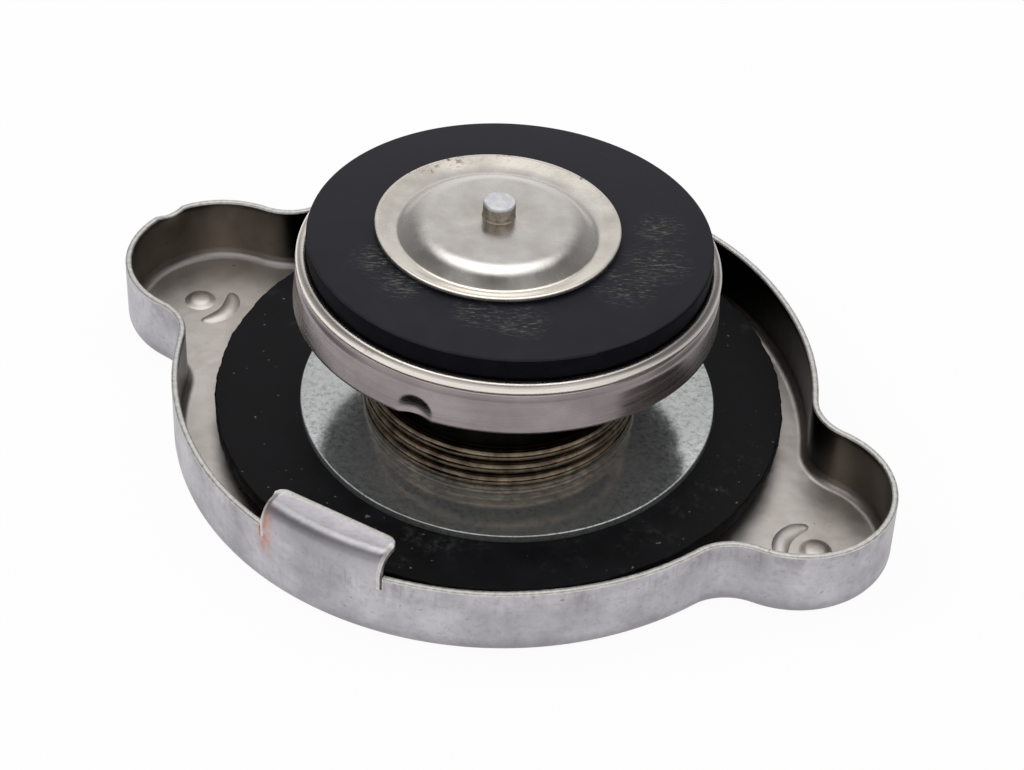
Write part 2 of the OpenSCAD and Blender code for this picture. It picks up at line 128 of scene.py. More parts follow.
paper_half, paper_drop = 3.0, 0.00005
paper_mesh = bpy.data.meshes.new("white_paper")
paper_corners = ((-1, -1), (1, -1), (1, 1), (-1, 1))
paper_mesh.from_pydata([(x * paper_half, y * paper_half, 0) for x, y in paper_corners], [], [(0, 1, 2, 3)])
paper = bpy.data.objects.new("white_paper", paper_mesh)
bpy.context.scene.collection.objects.link(paper)
paper.location.z = -paper_drop
paper_finish = bpy.data.materials.new("white_paper")
paper_finish.use_nodes = True
paper_tree = paper_finish.node_tree
paper_tree.nodes.clear()
paper_place = add_node(paper_tree, "TexCoord").outputs["Object"]
paper_grey = ramp(paper_tree, toward(paper_tree, paper_place, photo_front), 0.12, 0.36, 0.8, 0.5)
paper_matt = add_node(paper_tree, "BsdfDiffuse", {"Color": paper_grey})
paper_white = add_node(paper_tree, "Emission", {"Color": white, "Strength": 1.0})
paper_ray = add_node(paper_tree, "LightPath").outputs
paper_glow = times(paper_tree, paper_ray["Is Glossy Ray"], paper_grey)
paper_share = either(paper_tree, ramp(paper_tree, paper_ray["Is Camera Ray"], 0.0, 1.0, 0.0, 0.95),
                     ramp(paper_tree, paper_glow, 0.0, 1.0, 0.0, 0.6))
paper_mix = add_node(paper_tree, "MixShader", {0: paper_share, 1: paper_matt.outputs[0],
                                               2: paper_white.outputs[0]})
add_node(paper_tree, "OutputMaterial", {"Surface": paper_mix.outputs[0]})
paper_mesh.materials.append(paper_finish)

for name, place, size, power in (("soft_box_left", (-0.55, -0.15, 0.55), 0.7, 2.6),
                                 ("soft_box_front", (0.25, -0.75, 0.45), 0.6, 1.6),
                                 ("soft_box_back", (0.35, 0.55, 0.6), 0.5, 1.2)):
    box_light = bpy.data.lights.new(name, "AREA")
    box_light.size = size
    box_light.energy = power
    box = bpy.data.objects.new(name, box_light)
    box.location = place
    box.rotation_euler = (-Vector(place)).to_track_quat("-Z", "Y").to_euler()
    box.visible_glossy = False
    bpy.context.scene.collection.objects.link(box)

bpy.context.scene.view_settings.view_transform = "Standard"

# Camera
# It looks down on the cap from the front right, a little rolled, through a long lens.
lens_data = bpy.data.cameras.new("photo_camera")
lens_data.lens = 99.6
lens_data.sensor_width = 36.0
lens_data.clip_start = 0.01
camera = bpy.data.objects.new("photo_camera", lens_data)
camera_target, camera_roll = Vector((-0.00117, 0.00594, 0.0008)), radians(2.53)
camera.location = (0.1102, -0.2012, 0.2038)
camera_aim = (camera_target - camera.location).to_track_quat("-Z", "Y").to_matrix()
camera.rotation_euler = (camera_aim @ Matrix.Rotation(camera_roll, 3, "Z")).to_euler()
bpy.context.scene.collection.objects.link(camera)
bpy.context.scene.camera = camera

# Cap shell
# One blank of thin steel sheet, drawn into a shallow pan with two finger ears, bright outside and stained
# within, with shade painted dark on its inner walls. Two lugs are left standing on its rim, slit free at
# their ends and bent inward, and the cut edge is left raw.
mm = 0.001
body_radius, ear_centre, ear_radius, blend_radius = 34.35, 35.4, 10.435, 5.4
rim_height, sheet, crown_bend = 8.35, 0.7, 1.6
slit_floor, slit_inside, slit_outside, slit_before = 6.85, 11.9, 12.3, 0.15
lug_top, lug_bend, lug_tip, lug_corner, lug_half = 10.66, 2.0, 29.95, 1.2, 7.14
lug_foot, lug_burr, lug_bevel, lug_at = 7.7, 0.09, 0.22, 268.9
dent_at, dent_reach, dent_depth, dent_lean = Vector((-44.8, 3.8, 0)), 1.7, 0.4, 0.2
to_body, to_ear = body_radius + blend_radius, ear_radius + blend_radius
blend_x = (to_body ** 2 - to_ear ** 2 + ear_centre ** 2) / (2 * ear_centre)
blend_y = sqrt(to_body ** 2 - blend_x ** 2)
body_end = degrees(atan2(blend_y, blend_x))
ear_end = degrees(atan2(blend_y, blend_x - ear_centre))

# Arcs of half the outline: centre, radius (below nought for a hollow), first and last angle, spacing, kind
half_outline = (
    (0, 0, body_radius, lug_at - 180 + slit_outside, 180 - body_end, 0.8, "rim"),
    (-blend_x, blend_y, -blend_radius, -body_end, -ear_end, 0.5, "rim"),
    (-ear_centre, 0, ear_radius, 180 - ear_end, 180 + ear_end, 0.6, "rim"),
    (-blend_x, -blend_y, -blend_radius, ear_end, body_end, 0.5, "rim"),
    (0, 0, body_radius, 180 + body_end, lug_at - slit_inside - slit_before, 0.8, "rim"),
    (0, 0, body_radius, lug_at - slit_inside - slit_before, lug_at - slit_inside, 0.8, "slit"),
    (0, 0, body_radius, lug_at - slit_inside, lug_at + slit_inside, 0.35, "lug"),
    (0, 0, body_radius, lug_at + slit_inside, lug_at + slit_outside, 0.8, "slit"))
columns = []
for turn in (1, -1):
    for centre_x, centre_y, radius, start, end, spacing, kind in half_outline:
        steps = max(1, ceil(radians(abs(end - start)) * abs(radius) / spacing))
        for step in range(steps):
            angle = radians(start + (end - start) * step / steps)
            out = 1 if radius > 0 else -1
            columns.append({"kind": kind, "turn": turn,
                            "at": Vector((centre_x + abs(radius) * cos(angle),
                                          centre_y + abs(radius) * sin(angle), 0)) * turn,
                            "out": Vector((cos(angle), sin(angle), 0)) * out * turn})
shell = bmesh.new()


def sheet_strip(strip, section, finish_of):
    """Skins a run of columns, each with the same number of section points."""
    rows = [[shell.verts.new(p * mm) for p in section(column)] for column in strip]
    for step, (here, there) in enumerate(zip(rows, rows[1:])):
        for k in range(len(here) - 1):
            face = shell.faces.new((here[k], there[k], there[k + 1], here[k + 1]))
            face.material_index = finish_of(k, step in (0, len(rows) - 2))
    return rows


def on_wall(column, inset, height):
    return column["at"] - column["out"] * inset + Vector((0, 0, height))


floor_inset, boss_foot = crown_bend + 1.4, 12.0


def on_floor(column, share, height):
    edge = on_wall(column, floor_inset, 0)
    return edge.lerp(edge.normalized() * boss_foot, share) + Vector((0, 0, height))


def on_boss(column, radius, height):
    return on_wall(column, floor_inset, 0).normalized() * radius + Vector((0, 0, height))


boss_top, rivet_hole = 1.7, 2.55
boss_steps = ((rivet_hole, boss_top), (9.2, boss_top), (9.7, 1.58), (11.45, 0.16), (boss_foot, 0.0))
bend_angles = [radians(90 * k / 8) for k in range(9)]
wall_heights = (2.6, 4.0, 5.4, slit_floor)
floor_shares = (0.75, 0.5, 0.25, 0)


def outer_section(column):
    return ([on_boss(column, r, z) for r, z in boss_steps]
            + [on_floor(column, share, 0) for share in floor_shares]
            + [on_wall(column, crown_bend * (1 - sin(a)), crown_bend * (1 - cos(a))) for a in bend_angles]
            + [on_wall(column, 0, z) for z in wall_heights])


def inner_section(column):
    inner_bend = crown_bend - sheet
    return ([on_wall(column, sheet, z) for z in reversed(wall_heights)]
            + [on_wall(column, crown_bend - inner_bend * sin(a), crown_bend - inner_bend * cos(a))
               for a in reversed(bend_angles)]
            + [on_floor(column, share, sheet) for share in reversed(floor_shares)]
            + [on_boss(column, r, z + sheet) for r, z in reversed(boss_steps)])


def rim_section(column):
    """The upper wall with its rounded raw edge; the rim is a little wavy, with one dent on an ear's back."""
    around = atan2(column["at"].y, column["at"].x)
    top = rim_height + 0.05 * sin(5 * around + 1) + 0.03 * sin(13 * around) - 0.03
    dent = max(0.0, 1 - ((column["at"] - dent_at).length / dent_reach) ** 2)
    top -= dent_depth * dent
    lean = dent_lean * dent
    return [on_wall(column, inset, z) for inset, z in (
        (0, slit_floor), (lean * 0.4, 7.5), (lean, top - 0.2), (lean + 0.06, top - 0.06), (lean + 0.2, top),
        (lean + 0.5, top), (lean + 0.64, top - 0.06), (lean + sheet, top - 0.2), (sheet + lean * 0.4, 7.5),
        (sheet, slit_floor))]


def lug_section(column):
    """The wall carried up, bent inward and cut straight with a burr along its tip, its corners rounded."""
    lug_axis = Vector((cos(radians(lug_at)), sin(radians(lug_at)), 0)) * column["turn"]
    off_axis = abs(column["at"].cross(lug_axis).z)
    into_corner = max(0.0, off_axis - (lug_half - lug_corner))
    tip = column["at"].dot(lug_axis) - lug_tip - lug_corner + sqrt(lug_corner ** 2 - into_corner ** 2)
    bend_start = lug_top - lug_bend
    outer = [(0, slit_floor), (0, lug_foot)]
    outer += [(lug_bend * (1 - cos(a)), bend_start + lug_bend * sin(a)) for a in bend_angles]
    inner = [(lug_bend - (lug_bend - sheet) * cos(a), bend_start + (lug_bend - sheet) * sin(a))
             for a in reversed(bend_angles)]
    inner += [(sheet, lug_foot), (sheet, slit_floor)]
    under = lug_top - sheet
    edge = [(tip - 0.65, lug_top), (tip - 0.33, lug_top + lug_burr), (tip - 0.1, lug_top + lug_burr - 0.02),
            (tip, lug_top - 0.15), (tip - 0.06, under + 0.06), (tip - 0.2, under)]
    end_bevel = lug_bevel if off_axis > lug_half - 0.12 else 0.0
    for k, a in enumerate(bend_angles, 2):
        taken = end_bevel * min(1, 2 * sin(a))
        outer[k] = (outer[k][0] + taken * cos(a), outer[k][1] - taken * sin(a))
    edge[:2] = [(inset, z - end_bevel) for inset, z in edge[:2]]
    points = []
    for inset, z in outer + edge + inner:
        free = min(1.0, max(0.0, (z - slit_floor) / 1.2))
        points.append(column["at"] - column["out"].lerp(lug_axis, free) * inset + Vector((0, 0, z)))
    return points


OUTSIDE, INSIDE, RAW_EDGE = 0, 1, 2


def rim_finish(k, at_end):
    """By the rim section's points: the wall's outside, its rounded cut edge, its inside."""
    return OUTSIDE if k < 2 else RAW_EDGE if k < 7 else INSIDE


def lug_finish(k, at_end):
    """By the lug section's points: its outside, raw along the two ends, its cut tip, its inside."""
    if k < 11:
        return RAW_EDGE if at_end else OUTSIDE
    return RAW_EDGE if k < 16 else INSIDE


ring = columns + columns[:1]
sheet_strip(ring, outer_section, lambda k, at_end: OUTSIDE)
sheet_strip(ring, inner_section, lambda k, at_end: INSIDE)
sheet_strip(ring, lambda c: [on_boss(c, rivet_hole, boss_top + sheet), on_boss(c, rivet_hole, boss_top)],
            lambda k, at_end: RAW_EDGE)
runs = []
for column in columns:
    if runs:
        runs[-1][1].append(column)
    if not runs or runs[-1][0] != column["kind"]:
        runs.append((column["kind"], [column]))
runs[-1][1].append(columns[0])
for kind, strip in runs:
    if kind == "slit":
        sheet_strip(strip, lambda c: [on_wall(c, 0, slit_floor), on_wall(c, sheet, slit_floor)],
                    lambda k, at_end: RAW_EDGE)
        continue
    section, finish_of = (rim_section, rim_finish) if kind == "rim" else (lug_section, lug_finish)
    rows = sheet_strip(strip, section, finish_of)
    for end in (rows[0], rows[-1]):
        shell.faces.new(end).material_index = RAW_EDGE

# The ear's pressings: a round dimple and a curved ridge that stand up from each ear's floor
dimple_x, dimple_radius, dimple_rise, dimple_sides = 38.4, 1.4, 0.45, 40
ridge_radius, ridge_spread, ridge_rise, ridge_half, ridge_steps = 3.6, 1.05, 0.27, radians(55), 28
for turn in (1, -1):
    soft = [(dimple_radius + 0.5, -0.04), (dimple_radius + 0.25, 0.02), (dimple_radius, 0.1),
            (dimple_radius - 0.25, 0.21), (dimple_radius - 0.5, 0.29), (0.3, dimple_rise - 0.12)]
    around = [(cos(2 * pi * k / dimple_sides), sin(2 * pi * k / dimple_sides)) for k in range(dimple_sides)]
    rings = [[shell.verts.new(Vector(((dimple_x + r * c) * turn, r * s * turn, sheet + z)) * mm)
              for c, s in around] for r, z in soft]
    for low, high in zip(rings, rings[1:]):
        for k in range(dimple_sides):
            shell.faces.new((low[k - 1], low[k], high[k], high[k - 1])).material_index = INSIDE
    for end in (rings[0], rings[-1]):
        shell.faces.new(end).material_index = INSIDE
    across = [(cos(pi * k / 8), sin(pi * k / 8)) for k in range(9)]
    spine = []
    for step in range(ridge_steps + 1):
        share = step / ridge_steps
        swell = sqrt(max(0.0, 1 - abs(2 * share - 1) ** 2.6))
        angle = pi - ridge_half + 2 * ridge_half * share
        spine.append([shell.verts.new(Vector((
            (dimple_x + (ridge_radius + ridge_spread * c * swell) * cos(angle)) * turn,
            (ridge_radius + ridge_spread * c * swell) * sin(angle) * turn,
            sheet - 0.03 + ridge_rise * s ** 2.2 * swell)) * mm) for c, s in across])
    for here, there in zip(spine, spine[1:]):
        for k in range(len(across)):
            shell.faces.new((here[k - 1], there[k - 1], there[k], here[k])).material_index = INSIDE

bmesh.ops.remove_doubles(shell, verts=shell.verts, dist=1e-7)
bmesh.ops.recalc_face_normals(shell, faces=shell.faces)


def settle(name, built, sharp_angle=40):
    """Turns built faces into a smooth-shaded piece with crisp corners."""
    mesh = bpy.data.meshes.new(name)
    built.to_mesh(mesh)
    built.free()
    mesh.shade_smooth()
    mesh.set_sharp_from_angle(angle=radians(sharp_angle))
    piece = bpy.data.objects.new(name, mesh)
    bpy.context.scene.collection.objects.link(piece)
    return piece


def new_finish(name):
    """A new material: the material, its nodes, its surface shader and places on the piece in millimetres."""
    finish = bpy.data.materials.new(name)
    finish.use_nodes = True
    tree = finish.node_tree
    place = add_node(tree, "TexCoord").outputs["Object"]
    where = add_node(tree, "Mapping", {"Vector": place, "Scale": (1000.0, 1000.0, 1000.0)}).outputs[0]
    return finish, tree, tree.nodes["Principled BSDF"], where


def tone(red, green, blue):
    """A colour as the eye sees it, 0 to 255, in the renderer's own measure."""
    shares = [c / 255 for c in (red, green, blue)]
    return (*(s / 12.92 if s <= 0.04045 else ((s + 0.055) / 1.055) ** 2.4 for s in shares), 1.0)


def mottle(tree, where, scale, detail=4.0, rough=0.55, stretch=None, turn=0.0):
    """Clouds from 0 to 1, with about scale spots to the millimetre, drawn out along an axis if asked."""
    if turn:
        where = add_node(tree, "Mapping", {"Vector": where, "Rotation": (0.0, 0.0, turn)}).outputs[0]
    if stretch:
        where = add_node(tree, "Mapping", {"Vector": where, "Scale": stretch}).outputs[0]
    return add_node(tree, "TexNoise", {"Vector": where, "Scale": scale, "Detail": detail,
                                       "Roughness": rough}).outputs[0]


def paint(tree, share, under, over, way="MIX"):
    """Lays one colour over another by a share."""
    return add_node(tree, "Mix", {0: share, 6: under, 7: over}, data_type="RGBA", blend_type=way).outputs[2]


def plus(tree, first, second):
    return add_node(tree, "Math", {0: first, 1: second}, operation="ADD").outputs[0]


def coat(tree, shader, colour, roughness, height, strength, depth=0.0001, metal=1.0, shine=0.5):
    """Joins colour, roughness and a fine relief to the surface shader, and sets its metal and shine."""
    bump = add_node(tree, "Bump", {"Height": height, "Strength": strength, "Distance": depth})
    for socket, value in (("Base Color", colour), ("Roughness", roughness), ("Normal", bump.outputs[0])):
        tree.links.new(value, shader.inputs[socket])
    shader.inputs["Metallic"].default_value = metal
    shader.inputs["Specular IOR Level"].default_value = shine


# Outside of the shell: satin sheet, short draw marks under the rim, lines round it, a rust stain by one lug
bright_sheet, tree, shader, where = new_finish("drawn_sheet_outside")
cloud = mottle(tree, where, 0.16, 5.0, 0.6)
draw_marks = mottle(tree, where, 1.0, 3.0, 0.6, stretch=(2.4, 2.4, 0.16))
fine_lines = mottle(tree, where, 1.0, 2.0, 0.5, stretch=(0.06, 0.06, 4.0))
up = add_node(tree, "SeparateXYZ", {0: where}).outputs["Z"]
under_rim = times(tree, ramp(tree, up, 4.4, 7.0), ramp(tree, up, 7.8, 8.4, 1.0, 0.2))
colour = paint(tree, ramp(tree, cloud, 0.35, 0.65), tone(168, 165, 171), tone(204, 201, 206))
grain = mottle(tree, where, 1.4, 5.0, 0.65)
colour = paint(tree, ramp(tree, grain, 0.5, 0.66, 0.0, 0.35), colour, tone(152, 148, 153))
marked = times(tree, under_rim, ramp(tree, mottle(tree, where, 0.09, 2.0), 0.45, 0.6))
marks = times(tree, ramp(tree, draw_marks, 0.54, 0.7), marked)
colour = paint(tree, times(tree, marks, 0.5), colour, tone(140, 135, 140))
colour = paint(tree, ramp(tree, fine_lines, 0.58, 0.8, 0.0, 0.25), colour, tone(150, 146, 151))
smudge = times(tree, times(tree, ramp(tree, up, 5.0, 7.6), ramp(tree, up, 8.4, 9.2, 1.0, 0.0)),
               ramp(tree, mottle(tree, where, 0.35, 4.0, 0.6), 0.52, 0.66))
colour = paint(tree, times(tree, smudge, 0.5), colour, tone(136, 130, 132))
specks = ramp(tree, mottle(tree, where, 1.6, 2.0, 0.4), 0.72, 0.77, 0.0, 0.45)
colour = paint(tree, specks, colour, tone(104, 97, 94))
# Painted shade: the wall is coloured darker towards the bottom bend, where the cap stands on the paper.
colour = paint(tree, ramp(tree, up, 0.2, 2.2, 0.65, 0.0), colour, tone(116, 114, 114))
rubbed = ramp(tree, grain, 0.3, 0.6, 0.9, 0.4)
colour = paint(tree, times(tree, ramp(tree, up, 8.2, 9.6), rubbed), colour, tone(170, 167, 171))
stain_clouds = ramp(tree, mottle(tree, where, 1.1, 4.0, 0.6), 0.3, 0.6)
stain_at, stain_shape = (-7.3, -33.4, 8.0), (0.85, 0.6, 0.3)
stain_shift = tuple(-at * shape for at, shape in zip(stain_at, stain_shape))
stain_place = add_node(tree, "Mapping", {"Vector": where, "Location": stain_shift,
                                         "Scale": stain_shape}).outputs[0]
stain = times(tree, ramp(tree, off_middle(tree, stain_place), 0.2, 1.25, 1.0, 0.0), stain_clouds)
colour = paint(tree, times(tree, stain, 0.9), colour, tone(204, 136, 108))
coat(tree, shader, colour, ramp(tree, plus(tree, draw_marks, stain), 0.3, 1.2, 0.28, 0.5),
     plus(tree, draw_marks, fine_lines), 0.1)

# Inside of the shell: the same sheet under a brown stain, with shade painted on the walls (near black round
# the body, lighter in the ears) and the floor left brighter
stained_and_shaded_sheet, tree, shader, where = new_finish("drawn_sheet_inside")
cloud = mottle(tree, where, 0.22, 4.0)
apart = add_node(tree, "SeparateXYZ", {0: where}).outputs
up, in_ear = apart["Z"], ramp(tree, without_sign(tree, apart["X"]), 32.5, 36.0)
# Painted shade: the walls are coloured darker than the floor, near black round the body and lighter in the
# ears.
shaded_wall_colour = paint(tree, in_ear, tone(8, 8, 8), tone(142, 134, 124))
colour = paint(tree, ramp(tree, up, 1.0, 2.0, 1.0, 0.0), shaded_wall_colour, tone(208, 201, 196))
colour = paint(tree, ramp(tree, cloud, 0.45, 0.75, 0.0, 0.35), colour, tone(140, 128, 118), "MULTIPLY")
dirt = ramp(tree, mottle(tree, where, 1.3, 3.0, 0.5), 0.7, 0.77, 0.0, 0.6)
colour = paint(tree, dirt, colour, tone(76, 66, 60))
wall_marks = mottle(tree, where, 1.0, 3.0, 0.5, stretch=(0.6, 0.6, 0.2))
coat(tree, shader, colour, ramp(tree, up, 1.0, 2.0, 0.42, 0.28), wall_marks, 0.2, 0.0002)

# Raw cut edge: bright sheared metal with a fine grain
cut_edge, tree, shader, where = new_finish("raw_cut_edge")
grain = mottle(tree, where, 1.8, 4.0, 0.6)
colour = paint(tree, ramp(tree, grain, 0.4, 0.62), tone(204, 201, 197), tone(230, 228, 224))
pits = ramp(tree, mottle(tree, where, 2.6, 2.0, 0.5), 0.66, 0.74)
colour = paint(tree, times(tree, pits, 0.45), colour, tone(120, 114, 108))
coat(tree, shader, colour, ramp(tree, grain, 0.3, 0.7, 0.42, 0.6), grain, 0.1)

shell_piece = settle("pressed_shell", shell, 50)
for finish in (bright_sheet, stained_and_shaded_sheet, cut_edge):
    shell_piece.data.materials.append(finish)
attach(shell_piece, "cap")
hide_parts("cap_shell")

# Spring disc
# A thin disc of bright spring steel that lies on the crown's seat and keeps the gasket flat.
disc_sheet, tree, shader, where = new_finish("bright_spring_steel")
lay = mottle(tree, where, 1.0, 3.0, 0.5, stretch=(0.15, 2.5, 1.0))
colour = paint(tree, ramp(tree, lay, 0.35, 0.65), tone(150, 150, 152), tone(186, 186, 186))
coat(tree, shader, colour, ramp(tree, lay, 0.3, 0.7, 0.25, 0.4), lay, 0.1)


def dress(node, finish):
    """Gives a solid of the frame its finish."""
    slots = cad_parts[node].data.materials
    slots.clear()
    slots.append(finish)


dress("spring_disc", disc_sheet)

# Outer gasket
# A flat ring punched from black rubber sheet, loose round the rivet; its edge is cut a little ragged.


def soft_section(corners, steps=4):
    """A closed half section from corners (radius, height, rounding), each corner rounded off."""
    points = []
    for k, (r, z, rounding) in enumerate(corners):
        here = Vector((r, z))
        if rounding == 0:
            points.append(here)
            continue
        before = (Vector(corners[k - 1][:2]) - here).normalized()
        after = (Vector(corners[(k + 1) % len(corners)][:2]) - here).normalized()
        half = before.angle(after) / 2
        run = rounding / tan(half)
        centre = here + (before + after).normalized() * rounding / sin(half)
        first, last = here + before * run - centre, here + after * run - centre
        sweep = atan2(first.x * last.y - first.y * last.x, first.dot(last))
        for step in range(steps + 1):
            points.append(centre + Matrix.Rotation(sweep * step / steps, 2) @ first)
    return [tuple(p) for p in points]


def turned(name, section, steps, place=Matrix(), reshape=None, sharp_angle=40):
    """Spins a closed half section, in millimetres, round its own axis and sets it in place."""
    built = bmesh.new()
    rows = []
    for step in range(steps):
        angle = 2 * pi * step / steps
        row = []
        for r, z in section:
            if reshape:
                r, z = reshape(angle, r, z)
            row.append(built.verts.new((place @ Vector((r * cos(angle), r * sin(angle), z))) * mm))
        rows.append(row)
    for here, there in zip(rows, rows[1:] + rows[:1]):
        for k in range(len(section)):
            built.faces.new((here[k - 1], there[k - 1], there[k], here[k]))
    bmesh.ops.remove_doubles(built, verts=built.verts, dist=1e-7)
    bmesh.ops.recalc_face_normals(built, faces=built.faces)
    return settle(name, built, sharp_angle)


gasket_low, gasket_high, gasket_radius, gasket_hole, gasket_shift = 2.75, 4.35, 30.5, 3.7, 0.9


def ragged(angle, r, z):
    """Small nicks and flats along the punched outer edge."""
    if r < gasket_radius - 1:
        return r, z
    nick = 0.05 * sin(23 * angle + 2) + 0.04 * sin(57 * angle) + 0.03 * sin(131 * angle + 1)
    return r - 0.1 - nick * (1 if z > (gasket_low + gasket_high) / 2 else 0.6), z


gasket_section = soft_section(((gasket_hole, gasket_low, 0), (gasket_radius, gasket_low, 0.15),
                               (gasket_radius, gasket_high, 0.2), (gasket_hole, gasket_high, 0)))
gasket_piece = turned("rubber_gasket", gasket_section, 360, Matrix.Translation((0, gasket_shift, 0)), ragged)
gasket_rubber, tree, shader, where = new_finish("punched_black_rubber")
cloud = mottle(tree, where, 0.3, 5.0)
colour = paint(tree, ramp(tree, cloud, 0.35, 0.7), tone(13, 13, 15), tone(24, 23, 26))
dust = ramp(tree, mottle(tree, where, 1.7, 2.0, 0.4), 0.745, 0.77)
colour = paint(tree, times(tree, dust, 0.55), colour, tone(140, 138, 132))
smudges = times(tree, ramp(tree, mottle(tree, where, 0.12, 2.0), 0.55, 0.7),
                ramp(tree, mottle(tree, where, 0.8, 5.0, 0.7), 0.52, 0.7))
colour = paint(tree, times(tree, smudges, 0.2), colour, tone(110, 108, 106))
coat(tree, shader, colour, ramp(tree, cloud, 0.3, 0.7, 0.5, 0.68), mottle(tree, where, 3.0, 4.0, 0.6), 0.2,
     metal=0.0, shine=0.12)
gasket_piece.data.materials.append(gasket_rubber)
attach(gasket_piece, "clamped_stack")
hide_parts("outer_gasket")

# Backing plate
# A washer blanked from galvanised sheet: it clamps the gasket and carries the foot of the spring.
# The zinc shows its spangle, freckled with dark spots where it has weathered.
plate_low, plate_high, plate_radius, plate_hole, plate_shift = 4.35, 5.25, 22.1, 4.3, 1.5
plate_section = soft_section(((plate_hole, plate_low, 0), (plate_radius, plate_low, 0.1),
                              (plate_radius, plate_high, 0.14), (plate_hole, plate_high, 0)))
plate_piece = turned("galvanised_plate", plate_section, 256, Matrix.Translation((plate_shift, 0, 0)))
zinc, tree, shader, where = new_finish("spangled_zinc")
crystals = add_node(tree, "TexVoronoi", {"Vector": where, "Scale": 0.9, "Randomness": 1.0})
crystal_tone = add_node(tree, "SeparateColor", {0: crystals.outputs["Color"]}).outputs[0]
colour = paint(tree, ramp(tree, crystal_tone, 0.0, 1.0), tone(230, 233, 233), tone(242, 244, 244))
frost = mottle(tree, where, 1.6, 5.0, 0.65)
colour = paint(tree, ramp(tree, frost, 0.45, 0.62, 0.0, 0.5), colour, tone(246, 248, 248))
freckles = ramp(tree, mottle(tree, where, 1.7, 6.0, 0.75), 0.48, 0.62)
weather = ramp(tree, mottle(tree, where, 0.2, 2.0, 0.5), 0.35, 0.6, 0.45, 1.0)
colour = paint(tree, times(tree, times(tree, freckles, weather), 0.55), colour, tone(110, 114, 116))
coat(tree, shader, colour, ramp(tree, frost, 0.35, 0.65, 0.1, 0.17), frost, 0.06, metal=0.9)
plate_piece.data.materials.append(zinc)
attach(plate_piece, "clamped_stack")
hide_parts("backing_plate")

# Guide bell
# A small drawn cup inside the spring, riveted to the plate; its in-turned lip holds the valve head.
# Its steel is blackened, so hardly anything of it shows between the coils.
black_bell, tree, shader, where = new_finish("blackened_steel")
cloud = mottle(tree, where, 0.6, 5.0)
colour = paint(tree, ramp(tree, cloud, 0.35, 0.7), tone(20, 19, 18), tone(38, 35, 32))
coat(tree, shader, colour, ramp(tree, cloud, 0.3, 0.7, 0.4, 0.6), mottle(tree, where, 4.0, 3.0), 0.15,
     metal=0.0, shine=0.25)
dress("guide_bell", black_bell)

# Centre rivet
# A plain steel rivet through the crown: its flat head lies in a recess, its end is closed inside the bell.


def clouded(name, scale, dark, light, smooth, rough, strength, **surface):
    """A simple finish: clouds from a dark tone to a light one, rougher and higher where they are light."""
    finish, tree, shader, where = new_finish(name)
    cloud = mottle(tree, where, scale)
    colour = paint(tree, ramp(tree, cloud, 0.35, 0.7), dark, light)
    coat(tree, shader, colour, ramp(tree, cloud, 0.3, 0.7, smooth, rough), cloud, strength, **surface)
    return finish


rivet_steel = clouded("plain_rivet_steel", 1.2, tone(140, 138, 136), tone(178, 176, 174), 0.3, 0.5, 0.15)
dress("centre_rivet", rivet_steel)

# Pressure spring
# Hard-drawn wire, oil-tempered to a dark brown, wound round the bell: nearly three turns lie closed on the
# plate, then it opens and closes again under the valve pan.
spring_foot, spring_head, coil_radius, wire = 5.25, 21.84, 13.85, 1.5
foot_centre, head_centre = Vector((1.019, -0.886)), Vector((0.599, 0.778))
closed_at_foot, open_turns, closed_at_head, coil_start, wire_gap = 2.75, 1.6, 1.0, 120, 0.02
head_lean = radians(2.8)


def wound(name, centre_line, turns, wire_width, per_turn, sides, place=Matrix()):
    """Sweeps round wire along a coil's centre line, in millimetres, with its ends cut square."""
    built = bmesh.new()
    count = ceil(turns * per_turn)
    rows = []
    for step in range(count + 1):
        turn = turns * step / count
        here = Vector(centre_line(turn))
        along = (Vector(centre_line(turn + 0.001)) - Vector(centre_line(turn - 0.001))).normalized()
        out = Vector((here.x, here.y, 0)).normalized()
        side = along.cross(out).normalized()
        out = side.cross(along)
        rows.append([built.verts.new((place @ (here + (out * cos(a) + side * sin(a)) * wire_width / 2)) * mm)
                     for a in (2 * pi * k / sides for k in range(sides))])
    for here, there in zip(rows, rows[1:]):
        for k in range(sides):
            built.faces.new((here[k - 1], there[k - 1], there[k], here[k]))
    for end in (rows[0], rows[-1]):
        built.faces.new(end)
    bmesh.ops.recalc_face_normals(built, faces=built.faces)
    return settle(name, built)


def closed_rise(turn):
    """Wire widths climbed by closed turns: each lies flat for a while, then steps up smoothly."""
    whole = floor(turn)
    step = max(0.0, (turn - whole - 0.6) / 0.4)
    return whole + step * step * (3 - 2 * step)


def climb(turn, below, opened, above, pitch, height):
    """Height reached along a coil with closed, open and again closed turns."""
    open_from, open_to = closed_rise(below) * pitch, height - closed_rise(above) * pitch
    if turn < below:
        return closed_rise(turn) * pitch
    if turn < below + opened:
        return open_from + (turn - below) / opened * (open_to - open_from)
    return height - closed_rise(below + opened + above - turn) * pitch


def main_coil(turn):
    height = spring_head - spring_foot - wire
    rise = climb(turn, closed_at_foot, open_turns, closed_at_head, wire + wire_gap, height)
    share = rise / height
    angle = radians(coil_start + 360 * turn)
    centre = foot_centre.lerp(head_centre, share)
    lean = share * coil_radius * sin(angle) * tan(head_lean)
    return (centre.x + coil_radius * cos(angle), centre.y + coil_radius * sin(angle),
            spring_foot + wire / 2 + rise - lean)


